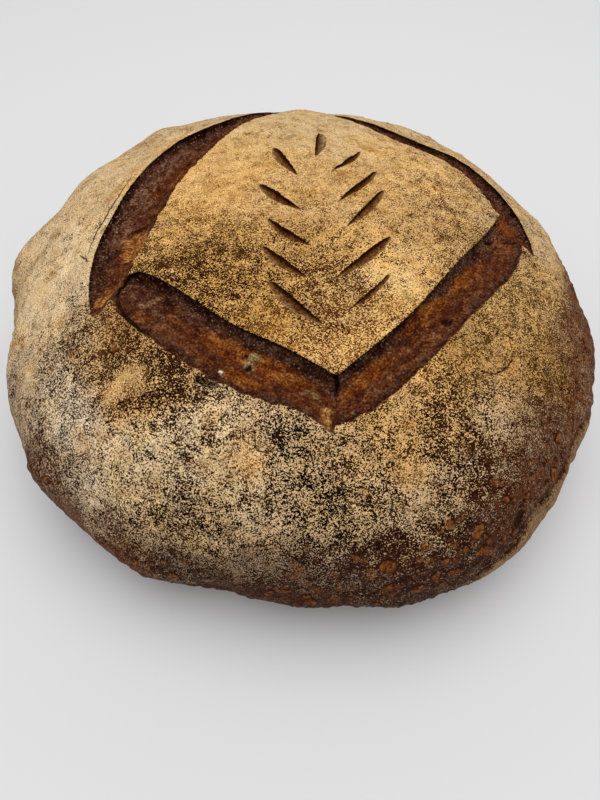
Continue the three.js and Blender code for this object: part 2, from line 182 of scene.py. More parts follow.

# Cracks and creases, plan points of each: [points, width, depth]; each is darkened with painted
# shade
LINES = [
    ([(-56.5, -31), (-61.5, -41.5), (-59.5, -48.7), (-54, -55), (-47, -61.5)], 1.3, 1.1),
    ([(-82.2, -50.5), (-79, -47), (-76, -43.2)], 0.45, 0.3),
    ([(-66, 22), (-69.9, 7.8), (-72.9, -1.5), (-75.2, -9.6), (-76.2, -19)], 1.0, 0.8),
    ([(-80.5, -17), (-77.5, -20.5), (-74.5, -24)], 0.8, 0.6),
    ([(82, -6.5), (85.5, -6.4), (89.5, -4.8)], 1.0, 0.8),
    ([(-31.5, -75.6), (-28, -77.8), (-23.0, -79.4)], 2.4, 1.4),
    ([(14.4, -76.5), (13.2, -82.5)], 1.2, 0.6),
    ([(15.6, -103.5), (15.3, -107.4), (16.1, -110.4), (23.8, -111.9), (26, -112)], 0.6, 0.5),
    ([(30.4, -108.5), (30.8, -112), (30.6, -116)], 0.6, 0.5),
    ([(40.5, -97), (42.7, -98.6), (46, -98.9)], 0.5, 0.4),
    ([(-36, -107), (-34.1, -108.6), (-30, -109.3)], 0.6, 0.4),
    ([(-48, -95), (-45.5, -96.4), (-43.5, -99)], 0.6, 0.4),
    ([(63.6, -70.7), (67.6, -70.2), (71.3, -67.6), (74, -64.4), (75.3, -60.5)], 0.6, 0.6),
    ([(-15.7, -92), (-15.5, -95.5)], 0.5, 0.4),
    ([(-11.8, -92.6), (-11.4, -97.4), (-8.2, -99)], 0.5, 0.4),
    ([(-8.4, -91.6), (-7.8, -94.6)], 0.5, 0.4),
    ([(1.5, -97), (5.5, -99.4), (6.4, -103)], 0.5, 0.4),
    ([(52, -92), (55.5, -90.5), (57, -87)], 0.5, 0.4),
    ([(88.2, 21.5), (91.2, 18)], 0.7, 0.4),
    ([(78.0, -106.2), (76.4, -108.8), (75.2, -111.6)], 2.6, 1.8),
]

# The pale ledge low on the front right: degrees round, share of the way to the foot at
# which it begins
LEDGE = [(294, 0.86), (300, 0.80), (305, 0.765), (308, 0.745), (312, 0.733), (320, 0.725),
         (329, 0.73), (340, 0.76)]
LEDGE_RISE = 1.2               # how far it stands out
LEDGE_CALM = 0.7               # how much of the crust's relief it smooths away, as a share
CREASE_DEPTH = 0.9             # depth of the crease over it, which is darkened with painted shade
CREASE_WIDTH = 0.008           # half-width of that crease, as a share of the way to the foot
LEDGE_SWAY = 0.009             # how far its upper edge strays, as such a share

# The largest blisters: degrees round, share of the way to the foot, reach
BIG_BLISTERS = [
    (281, 0.725, 3.6), (283.5, 0.712, 3.8), (288, 0.775, 3.4), (276, 0.725, 2.6),
    (292, 0.72, 2.8), (297, 0.69, 2.4), (303, 0.62, 2.6), (279, 0.69, 2.4),
    (272, 0.755, 2.6), (285.5, 0.755, 2.2), (290.5, 0.755, 2.2),
]

# ------------------------------------------------------------ colours, sRGB 0 to 255

TONES = {
    "honey": (160, 104, 38), "toast": (106, 62, 20), "caramel": (100, 54, 12),
    "walnut": (76, 40, 12), "umber": (44, 18, 4), "char_and_crack_shade": (12, 4, 1), "rust": (82, 41, 18),
    "sienna": (66, 32, 16), "cream": (236, 190, 124), "wheat": (214, 166, 98),
    "chalk": (218, 190, 144), "sand": (192, 150, 98), "oat": (192, 163, 126),
    "clay": (140, 98, 64), "amber": (112, 56, 13), "painted_shade_black": (12, 4, 2),
    "crumb": (120, 96, 60), "ember": (108, 54, 20), "gold": (146, 92, 44),
    "blackish_red": (40, 10, 5), "tan": (170, 118, 64), "flour": (226, 204, 176),
    "grape": (70, 43, 29), "russet": (104, 56, 22), "ash": (212, 186, 154),
    "bone": (220, 189, 144), "biscuit": (200, 154, 96), "dun": (154, 132, 108),
    "drab": (124, 102, 84), "straw": (218, 176, 118), "liver": (80, 42, 24),
    "brick": (94, 48, 20), "maroon": (56, 26, 16), "hide": (114, 86, 58),
    "fawn": (170, 133, 100), "pith": (214, 181, 138), "moss": (88, 68, 34),
    "ivory": (231, 202, 159), "olive": (72, 46, 8),
    "butter": (248, 206, 140), "frost": (238, 216, 186), "plum": (100, 62, 42),
}


def linear(tone):
    """A named tone as linear red, green and blue."""
    shares = np.array(TONES[tone]) / 255.0
    return np.where(shares <= 0.04045, shares / 12.92, ((shares + 0.055) / 1.055) ** 2.4)


# ------------------------------------------------------------ noise

NOISE_PRIMES = (0x8DA6B343, 0xD8163841, 0xCB1AB31F)


def mixed(cells, seed):
    """A scrambled whole number for each lattice cell."""
    key = np.full(len(cells), (seed * 0x9E3779B9) & 0xFFFFFFFF, np.uint32)
    for axis, prime in enumerate(NOISE_PRIMES):
        key ^= cells[:, axis].astype(np.uint32) * np.uint32(prime)
    key ^= key >> np.uint32(13)
    key *= np.uint32(0x5BD1E995)
    key ^= key >> np.uint32(15)
    key *= np.uint32(0x27D4EB2D)
    return key ^ (key >> np.uint32(14))


def noise(points, size, seed):
    """Smooth gradient noise, about -1 to 1, with cells of a size in mm."""
    scaled = np.asarray(points, float) / size
    cell = np.floor(scaled).astype(np.int64)
    part = scaled - cell
    ease = part * part * part * (part * (part * 6 - 15) + 10)
    total = np.zeros(len(scaled))
    for corner in range(8):
        step = np.array([corner & 1, (corner >> 1) & 1, (corner >> 2) & 1])
        key = mixed(cell + step, seed)
        away = part - step
        slopes = [((key >> np.uint32(10 * axis)) & np.uint32(1023)) / 511.5 - 1.0
                  for axis in range(3)]
        value = sum(slopes[axis] * away[:, axis] for axis in range(3))
        weight = np.prod(np.where(step == 1, ease, 1 - ease), axis=1)
        total += value * weight
    return total * 1.6


def rough_noise(points, size, seed, octaves=3):
    """Noise with finer and finer layers, each half as strong."""
    total = np.zeros(len(points))
    for octave in range(octaves):
        total += noise(points, size / 2 ** octave, seed + octave) / 2 ** octave
    return total


def smoothstep(value, low, high):
    share = np.clip((value - low) / (high - low), 0, 1)
    return share * share * (3 - 2 * share)


# ------------------------------------------------------------ the smooth form


def plan_radius(angle):
    radius = np.full_like(angle, DIAMETER / 2)
    for waves, height, crest in PLAN_WAVES:
        radius += height * np.cos(waves * (angle - math.radians(crest)))
    return radius


def half_section(count=4000):
    """Share of the plan radius, height and arc length from the crown to the foot."""
    t = np.linspace(0, 1, count)
    turn = math.pi / 2 * np.clip(t / CROWN_SHARE, 0, 1)
    share = np.sin(turn) ** (2 / CROWN_POWER)
    height = BELLY_HEIGHT + (HEIGHT - BELLY_HEIGHT) * np.cos(turn) ** (2 / CROWN_POWER)
    drop = np.clip((t - CROWN_SHARE) / (1 - CROWN_SHARE), 0, 1)
    below = drop > 0
    share[below] = 1 - (1 - FOOT_RATIO) * drop[below] ** 2
    height[below] = BELLY_HEIGHT * (1 - drop[below])
    steps = np.hypot(np.diff(share) * DIAMETER / 2, np.diff(height))
    return share, height, np.concatenate([[0], np.cumsum(steps)])


def crown_height(share):
    inner = np.clip(1 - share ** CROWN_POWER, 0, 1)
    return BELLY_HEIGHT + (HEIGHT - BELLY_HEIGHT) * inner ** (1 / CROWN_POWER)


def share_at_height(height):
    if height < BELLY_HEIGHT:
        return 1 - (1 - FOOT_RATIO) * (1 - height / BELLY_HEIGHT) ** 2
    rise = (height - BELLY_HEIGHT) / (HEIGHT - BELLY_HEIGHT)
    return (1 - rise ** CROWN_POWER) ** (1 / CROWN_POWER)


def smooth_points(angle, share, height):
    radius = plan_radius(angle) * share
    return np.stack([radius * np.cos(angle), radius * np.sin(angle), height], axis=-1)


def unevenness(points):
    out = np.zeros(len(points))
    for degrees, height, rise, reach in LUMPS:
        angle = np.array([math.radians(degrees)])
        centre = smooth_points(angle, share_at_height(height), np.array([height]))[0]
        far = ((points - centre) ** 2).sum(axis=1)
        out += rise * np.exp(-far / reach ** 2)
    for along_x, along_y, height, turn in SWELLS:
        waves = (along_x * points[:, 0] + along_y * points[:, 1]) / 1000
        out += height * np.sin(2 * math.pi * waves + turn)
    return out


def roughen(points):
    """Pushes points of the smooth form out from the loaf's core; the foot stays flat."""
    outward = points - np.array([0, 0, -HEIGHT / 2])
    outward[:, 2] *= smoothstep(points[:, 2], 0, BELLY_HEIGHT)
    outward /= np.linalg.norm(outward, axis=1, keepdims=True)
    hold = smoothstep(points[:, 2], -1, BELLY_HEIGHT / 2)
    return points + outward * (unevenness(points) * hold)[:, None]


def crown_points(plan):
    """The uneven crown over places of the plan."""
    share = np.hypot(plan[:, 0], plan[:, 1]) / plan_radius(np.arctan2(plan[:, 1], plan[:, 0]))
    return roughen(np.column_stack([plan, crown_height(share)]))


def crown_normals(plan):
    step_x, step_y = np.array([1.0, 0.0]), np.array([0.0, 1.0])
    along_x = crown_points(plan + step_x) - crown_points(plan - step_x)
    along_y = crown_points(plan + step_y) - crown_points(plan - step_y)
    normals = np.cross(along_x, along_y)
    return normals / np.linalg.norm(normals, axis=1, keepdims=True)


# ------------------------------------------------------------ curves on the plan


def through(points, count):
    """A centripetal Catmull-Rom curve through plan points, as three.js draws it."""
    given = np.array(points, float)
    first = 2 * given[0] - given[1]
    last = 2 * given[-1] - given[-2]
    knots = np.vstack([first, given, last])
    spans = len(given) - 1
    place = np.linspace(0, spans, count)
    span = np.minimum(place.astype(int), spans - 1)
    w = (place - span)[:, None]
    p0, p1, p2, p3 = (knots[span + i] for i in range(4))
    gap = [np.linalg.norm(b - a, axis=1, keepdims=True) ** 0.5
           for a, b in ((p0, p1), (p1, p2), (p2, p3))]
    tangent1 = (p1 - p0) / gap[0] - (p2 - p0) / (gap[0] + gap[1]) + (p2 - p1) / gap[1]
    tangent2 = (p2 - p1) / gap[1] - (p3 - p1) / (gap[1] + gap[2]) + (p3 - p2) / gap[2]
    tangent1, tangent2 = tangent1 * gap[1], tangent2 * gap[1]
    bend2 = -3 * p1 + 3 * p2 - 2 * tangent1 - tangent2
    bend3 = 2 * p1 - 2 * p2 + tangent1 + tangent2
    return p1 + tangent1 * w + bend2 * w ** 2 + bend3 * w ** 3


def nearest(path, points):
    """For each point: distance to the path, nearest place on it, how far along it that
    is (0 to 1), and on which side the point lies (+1 to the left of the path)."""
    start, step = path[:-1], np.diff(path, axis=0)
    length2 = (step ** 2).sum(axis=1)
    distance, place, along, side = [], [], [], []
    for chunk in np.array_split(points, max(1, len(points) // 6000)):
        away = chunk[:, None, :] - start[None]
        part = np.clip((away * step).sum(axis=2) / length2, 0, 1)
        gap = away - part[:, :, None] * step
        far2 = (gap ** 2).sum(axis=2)
        best = far2.argmin(axis=1)
        row = np.arange(len(chunk))
        distance.append(np.sqrt(far2[row, best]))
        place.append(chunk - gap[row, best])
        along.append((best + part[row, best]) / len(start))
        turn = step[best, 0] * away[row, best, 1] - step[best, 1] * away[row, best, 0]
        side.append(np.where(turn >= 0, 1.0, -1.0))
    return (np.concatenate(distance), np.concatenate(place), np.concatenate(along),
            np.concatenate(side))


def is_inside(outline, points):
    """Which points lie within a closed outline."""
    x, y = points[:, 0], points[:, 1]
    inside = np.zeros(len(points), bool)
    for (x1, y1), (x2, y2) in zip(outline, np.roll(outline, -1, axis=0)):
        if y1 == y2:
            continue
        crosses = (y1 > y) != (y2 > y)
        inside ^= crosses & (x < (x2 - x1) * (y - y1) / (y2 - y1) + x1)
    return inside


def fade(along, tapers):
    """How much of a gash's full depth is there along its length."""
    full = np.ones_like(along)
    for tapered, way in zip(tapers, (along, 1 - along)):
        if tapered:
            grown = np.sin(math.pi / 2 * np.clip(way / TAPER, 0, 1)) ** TAPER_BLUNT
            full = np.minimum(full, grown)
    return full


# ------------------------------------------------------------ the grid of the crust


def ring_reaches(total):
    arcs, rings = zip(*(RING_ZONES + [(total, RINGS)]))
    return np.interp(np.arange(RINGS + 1), rings, arcs)


def crust_grid():
    """Angle, share, height and arc length of each vertex: ring k has 6k of them."""
    shares, heights, arcs = half_section()
    reach = ring_reaches(arcs[-1])
    angles = [np.zeros(1)]
    angles += [np.arange(6 * k) * (2 * math.pi / (6 * k)) for k in range(1, RINGS + 1)]
    counts = [len(a) for a in angles]
    arc = np.repeat(reach, counts)
    return {
        "angle": np.concatenate(angles),
        "arc": arc,
        "share": np.interp(arc, arcs, shares),
        "height": np.interp(arc, arcs, heights),
        "step": np.repeat(np.gradient(reach), counts),
        "total": arcs[-1],
    }


def first_of_ring(ring):
    return 0 if ring == 0 else 1 + 3 * ring * (ring - 1)


def crust_triangles():
    triangles = []
    for ring in range(1, RINGS + 1):
        sector = np.arange(6)[:, None]
        i = np.arange(ring)[None]
        outer = sector * ring + i
        inner = sector * (ring - 1) + i
        near, far = first_of_ring(ring - 1), first_of_ring(ring)
        wrap_in = max(1, 6 * (ring - 1))
        a = far + outer
        b = far + (outer + 1) % (6 * ring)
        c = near + inner % wrap_in
        triangles.append(np.stack([a, b, c], axis=-1).reshape(-1, 3))
        if ring > 1:
            d = near + (inner + 1) % wrap_in
            filled = np.stack([c, b, d], axis=-1)[:, : ring - 1]
            triangles.append(filled.reshape(-1, 3))
    return np.concatenate(triangles)


# ------------------------------------------------------------ gashes

# What a gash's floor carries: shares across it and of its full depth, mm along it, and
# how much each place is floor, lies in the painted shade under the lip, or on the dark brink
FLOOR_FIELDS = ("across", "along", "full", "floor_share", "painted_lip_shade", "brink")
FAR_OUT = -20.0                # the edge's distance on crust far from any gash
LIP_SNAP = 0.52                # a point moves onto the lip within this share of a step


def gash_fields(gash, plan, step):
    """Where each plan point lies in or by a gash, and where its surface goes."""
    lip, flush = through(gash["lip"], GASH_STEPS), through(gash["flush"], GASH_STEPS)
    lip_gap, lip_place, lip_along, lip_side = nearest(lip, plan)
    flush_gap, _, flush_along, _ = nearest(flush, plan)
    inner_side = nearest(lip, flush[[GASH_STEPS // 2]])[3][0]
    inside = is_inside(np.vstack([lip, flush[::-1]]), plan)
    by_flush = flush_gap < lip_gap
    ragged = RAGGED * rough_noise(np.column_stack([plan, 0 * plan[:, 0]]), BAY, 11)
    edge = np.where(inside, 1.0, -1.0) * np.where(by_flush, flush_gap, lip_gap)
    edge = np.where(by_flush, edge + ragged, edge)
    flush_gap = np.maximum(np.where(inside | by_flush, flush_gap + ragged, flush_gap), 0.01)
    width = lip_gap + flush_gap
    across = lip_gap / width
    along = (1 - across) * lip_along + across * flush_along
    full = fade(along, gash["tapers"])
    full_at_lip = fade(lip_along, gash["tapers"])

    tangent = np.gradient(lip, axis=0)
    tangent /= np.linalg.norm(tangent, axis=1, keepdims=True)
    last = GASH_STEPS - 1
    row = np.clip((lip_along * last).round().astype(int), 0, last)
    inward = np.column_stack([-tangent[row, 1], tangent[row, 0]]) * inner_side

    # Inside the surface goes down the undercut wall, then out over the hollow floor
    wall = np.minimum(WALL_WIDTH, WALL_SHARE * width)
    down = np.clip(lip_gap / wall, 0, 1)
    out = np.clip((lip_gap - wall) / np.maximum(width - wall, 0.1), 0, 1)
    on_wall = down < 1
    rise = gash["ear"] * full_at_lip
    bottom = rise - np.interp(lip_along, [0, 1], gash["drop"]) * full
    sag = gash["hollow"] * np.sin(math.pi * out ** FLOOR_SKEW) + TORN_STEP * out
    floor = bottom * (1 - smoothstep(out, 0, FLOOR_LEVEL)) - full * sag
    wall_reach = LIP_JUT * full * (1 - down) - UNDERCUT * full * down
    floor_reach = -UNDERCUT * full * (1 - out) + width * out
    reach = np.where(on_wall, wall_reach, floor_reach)

    # Outside the crust by the lip lifts into the ear and juts out over the gash
    on_lip = (np.abs(edge) < LIP_SNAP * step) & ~by_flush & (lip_along > 0) & (lip_along < 1)
    back = np.clip(lip_gap / gash["ear_width"], 0, 1)
    jut = LIP_JUT * full_at_lip * np.exp(-lip_gap / JUT_FADE)
    return {
        "inside": (edge > 0) & ~on_lip,
        "on_lip": on_lip,
        "edge": edge,
        "height": np.where(on_wall, rise + (bottom - rise) * down, floor),
        "shift": inward * (reach - lip_gap)[:, None],
        "lip_place": lip_place,
        "rise": rise,
        "ear": rise * (1 - back ** EAR_DOME) * (lip_side == -inner_side),
        "push": inward * jut[:, None],
        "across": across,
        "along": np.linalg.norm(np.diff(lip, axis=0), axis=1).sum() * along,
        "full": full,
        "floor_share": np.clip(out * 6, 0, 1),
        # Painted shade on the floor under the lip, fading out over the wall's width
        "painted_lip_shade": gash["lip_shade_darkness"] * (1 - np.clip(out * width / WALL_WIDTH, 0, 1)),
        "brink": gash["brink"] * smoothstep(across, 0.5, 0.7) * np.exp(-flush_gap / 0.7),
    }


def cut_gashes(crust):
    """Opens the gashes: sets plan, height over the crust, and the fields to paint by."""
    plan, count = crust["plan"], len(crust["plan"])
    crust.update({name: np.zeros(count) for name in ("lift", *FLOOR_FIELDS)})
    crust["edge"] = np.full(count, FAR_OUT)
    crust["torn"] = np.zeros(count, bool)
    new_plan = plan.copy()
    lipped = np.zeros(count, bool)
    for gash in GASHES:
        corners = np.array(gash["lip"] + gash["flush"], float)
        low, high = corners.min(axis=0) - GASH_MARGIN, corners.max(axis=0) + GASH_MARGIN
        near = np.all((plan > low) & (plan < high), axis=1) & (crust["arc"] < CROWN_ARC)
        rows = np.flatnonzero(near)
        field = gash_fields(gash, plan[rows], crust["step"][rows])

        deeper = ~crust["torn"][rows] | (field["height"] < crust["lift"][rows])
        deeper &= field["inside"]
        taken = rows[deeper]
        crust["torn"][taken] = True
        crust["lift"][taken] = field["height"][deeper]
        new_plan[taken] = plan[taken] + field["shift"][deeper]
        for name in FLOOR_FIELDS:
            crust[name][taken] = field[name][deeper]

        free = ~crust["torn"][rows]
        on_lip = field["on_lip"] & free
        taken = rows[on_lip]
        lipped[taken] = True
        crust["lift"][taken] = field["rise"][on_lip]
        new_plan[taken] = field["lip_place"][on_lip] + field["push"][on_lip]

        behind = free & ~lipped[rows] & (field["ear"] > crust["lift"][rows])
        taken = rows[behind]
        crust["lift"][taken] = field["ear"][behind]
        new_plan[taken] = plan[taken] + field["push"][behind]
        crust["edge"][rows] = np.maximum(crust["edge"][rows], field["edge"])
    crust["plan"] = new_plan


# ------------------------------------------------------------ the leaf

OUT_OF_CUT = -9.0              # the depth in a cut of crust far from any
CUT_SNAP = 0.27                # a point this near a cut's edge moves onto it


def cut_leaf(crust):
    """Opens the leaf's cuts: steep at the back, sloping in front, with a curled rim."""
    plan, count = crust["plan"], len(crust["plan"])
    crust["cut"] = np.full(count, OUT_OF_CUT)
    crust["cut_across"] = np.full(count, -1.0)
    for outer_x, outer_y, stem_x, stem_y, width in LEAF_CUTS:
        outer, stem = np.array([outer_x, outer_y]), np.array([stem_x, stem_y])
        length = np.linalg.norm(stem - outer)
        along = (stem - outer) / length
        front = np.array([-along[1], along[0]])
        front = -front if front[1] > 0 else front
        rows = np.flatnonzero(np.linalg.norm(plan - (outer + stem) / 2, axis=1) < length)
        away = plan[rows] - outer
        t = away @ along / length
        beyond = np.maximum(np.maximum(-t, t - 1), 0) * length
        t = np.clip(t, 0, 1)
        across = away @ front - LEAF_CUT_BOW * np.sin(math.pi * t)
        waver = LEAF_CUT_WAVER * noise(np.column_stack([plan[rows], across * 0]), 2.6, 23)
        gape = np.sin(math.pi * t ** LEAF_CUT_SKEW) ** LEAF_CUT_BLUNT
        half = np.maximum(LEAF_CUT_OPEN * width / 2 * gape * (1 + waver), 0.01)
        gap = np.hypot(np.maximum(np.abs(across) - half, 0), beyond)

        # Points near the cut's edge move onto it
        snap = (np.abs(np.abs(across) - half) < CUT_SNAP) & (beyond == 0) & (half > 0.4)
        moved = np.sign(across) * half - across
        plan[rows[snap]] += moved[snap, None] * front
        across = np.where(snap, np.sign(across) * half, across)

        side = across / half
        inside = (np.abs(side) < 1 - 1e-6) & (beyond == 0)
        side = np.clip(side, -1, 1)
        share = (side + 1) / 2
        out = np.clip((share - LEAF_CUT_WALL) / (1 - LEAF_CUT_WALL), 0, 1)
        sunk = smoothstep(share, 0, LEAF_CUT_WALL) * (1 - out ** LEAF_CUT_DOME)
        sunk *= LEAF_CUT_DEPTH * gape
        rim = LEAF_CUT_RIM * np.exp(-(gap / 1.1) ** 2) * np.clip(gape * 2, 0, 1)
        crust["lift"][rows] += np.where(inside, -sunk, np.where(beyond == 0, rim, 0))
        depth_in = np.where(inside, (1 - np.abs(side)) * half, -gap)
        closer = depth_in > crust["cut"][rows]
        crust["cut"][rows[closer]] = depth_in[closer]
        crust["cut_across"][rows[closer]] = side[closer]


# ------------------------------------------------------------ relief

BLISTERS_TRIED = 6000          # random places, of which few are kept
BLISTER_FRONT = 285            # degrees round where the most are kept
BLISTER_SPREAD = 45            # degrees to either side over which they thin out
KNOBS_AT = 338                 # degrees round where the crust is knobbly
LUMP_RISE = 0.45               # mm, of slow lumps over the whole crust
PORE_RISE = 0.16               # mm, of its fine grain
KNOB_RISE = 0.8                # mm, of the knobs low on the right
BULGE_RISE = 1.1               # mm, of bulges of the torn floors
STRAND_RISE = 0.45             # mm, of the strands along them
PEBBLE_RISE = 0.5              # mm, of the crumbs on them
LINE_SHAKE = 0.45              # mm by which a crack strays from its curve
SPOT_ARC = 120                 # the spots lie within this arc length from the crown
LINE_REACH = 2.5               # how far a crack's signed distance reaches
OFF_LINE = 9.0                 # that distance where no crack is near


def surface_at(degrees, arc):
    """Points of the uneven crust at angles and arc lengths."""
    shares, heights, arcs = half_section()
    angle, arc = np.radians(np.atleast_1d(degrees)), np.atleast_1d(arc)
    return roughen(smooth_points(angle, np.interp(arc, arcs, shares),
                                 np.interp(arc, arcs, heights)))


def blisters(crust, base):
    """Small domes where the bare crust bubbled, thickest low on the front."""
    random = np.random.default_rng(7)
    degrees = random.uniform(0, 360, BLISTERS_TRIED)
    share = random.uniform(0.42, 0.97, BLISTERS_TRIED)
    off_front = (degrees - BLISTER_FRONT + 180) % 360 - 180
    chance = 0.9 * np.exp(-(off_front / BLISTER_SPREAD) ** 2) * smoothstep(share, 0.58, 0.72)
    keep = random.uniform(0, 1, BLISTERS_TRIED) < 0.03 + chance
    reach = 0.8 + 2.2 * random.uniform(0, 1, BLISTERS_TRIED) ** 2.8
    big = random.uniform(0, 1, BLISTERS_TRIED) < 0.01
    reach = np.where(big, random.uniform(3.0, 4.4, BLISTERS_TRIED), reach)
    scattered = np.column_stack([degrees, share, reach])[keep]
    degrees, share, reach = np.vstack([scattered, BIG_BLISTERS]).T
    arcs = share * crust["total"]
    rise = np.zeros(len(base))
    for centre, arc, size in zip(surface_at(degrees, arcs), arcs, reach):
        first, last = np.searchsorted(crust["arc"], [arc - 2 * size, arc + 2 * size])
        far = np.linalg.norm(base[first:last] - centre, axis=1) / size
        dome = np.clip(1 - far ** 2, 0, 1) ** 1.5 * (0.22 + 0.12 * size)
        rise[first:last] = np.maximum(rise[first:last], dome)
    return rise


def add_relief(crust, base):
    """Lumps, pores, blisters and knobs of the crust, and the torn floors' strands."""
    side = smoothstep(crust["arc"], 95, 135)
    slow = rough_noise(base, 16.0, 31, 2) * LUMP_RISE
    fine = rough_noise(base, 3.2, 41, 3) * PORE_RISE
    crust["blister"] = blisters(crust, base) * ~crust["torn"]
    off_knobs = np.cos(crust["angle"] - math.radians(KNOBS_AT))
    knobs = rough_noise(base, 6.0, 47, 2) * side * smoothstep(off_knobs, 0.3, 0.9)
    knobs *= KNOB_RISE
    relief = slow * (0.5 + 0.8 * side) + fine * (0.7 + 0.9 * side) + crust["blister"] + knobs
    crust["lift"] += np.where(crust["torn"], 0, relief)

    draw_lines(crust, base)
    fill_spots(crust, base)
    strand = np.column_stack([crust["along"] / 2.4, crust["across"] * 9, base[:, 2] * 0.2])
    strands = rough_noise(strand, 1.6, 53, 3)
    bulge = rough_noise(base, 11.0, 57, 2)
    pebbles = rough_noise(base, 2.4, 67, 2)
    torn = bulge * BULGE_RISE + strands * STRAND_RISE + pebbles * PEBBLE_RISE
    middle = np.sin(math.pi * np.clip(crust["across"], 0, 1)) ** 0.5
    torn *= crust["full"] * middle * crust["floor_share"]
    crust["lift"] += np.where(crust["torn"], torn, 0)


def draw_lines(crust, base):
    """Grooves along the cracks, and the signed distance by which painted shade darkens them
    crisply.
    """
    count = len(base)
    crust["line"], crust["line_width"] = np.full(count, OFF_LINE), np.zeros(count)
    best = np.full(count, LINE_REACH)
    for number, (points, width, depth) in enumerate(LINES):
        path = through(points, 40)
        low, high = path.min(axis=0) - 3, path.max(axis=0) + 3
        near = np.all((base[:, :2] > low) & (base[:, :2] < high), axis=1)
        rows = np.flatnonzero(near & (crust["arc"] < CROWN_ARC))
        flat = np.column_stack([base[rows, :2], 0 * rows])
        shake = np.column_stack([noise(flat, 2.2, 90 + number), noise(flat, 2.2, 190 + number)])
        gap, _, along, side = nearest(path, base[rows, :2] + LINE_SHAKE * shake)
        full = np.sin(math.pi * np.clip(along, 0, 1)) ** 0.5 * (gap < 2.4)
        closer = gap < best[rows]
        taken = rows[closer]
        best[taken] = gap[closer]
        crust["line"][taken] = (gap * side)[closer]
        crust["line_width"][taken] = (width * full)[closer]
        crust["lift"][rows] -= depth * full * np.exp(-(gap / (0.6 * width + 0.3)) ** 2)


def fill_spots(crust, base):
    """Hollows, holes and patches of other colour in the torn floors; the holes and pits get
    painted shade.
    """
    count = len(base)
    crust["tint"], crust["tinted"] = np.zeros((count, 3)), np.zeros(count)
    wobble = np.column_stack([noise(base, 5.0, seed) for seed in (101, 102)]) * 0.9
    # Near-black tones on sunk spots are painted shade in holes and pits
    for x, y, half_length, half_width, turn, name, strength, rise in SPOTS:
        ahead = np.array([math.cos(math.radians(turn)), math.sin(math.radians(turn))])
        away = base[:, :2] + wobble * min(1, half_width / 2.5) - np.array([x, y])
        far = np.hypot(away @ ahead / half_length,
                       (away[:, 1] * ahead[0] - away[:, 0] * ahead[1]) / half_width)
        inside = (far < 1.6) & (crust["arc"] < SPOT_ARC)
        weight = smoothstep(-far[inside], -1.25, -0.55) * strength
        old = crust["tint"][inside]
        crust["tint"][inside] = old + (linear(name) - old) * weight[:, None]
        crust["tinted"][inside] = np.maximum(crust["tinted"][inside], weight)
        crust["lift"][inside] += rise * smoothstep(-far[inside], -1.1, -0.2)
    covered = np.maximum(crust["tinted"], 1e-3)[:, None]
    crust["tint"] = np.clip(crust["tint"] / covered, 0, 1)


# ------------------------------------------------------------ paint

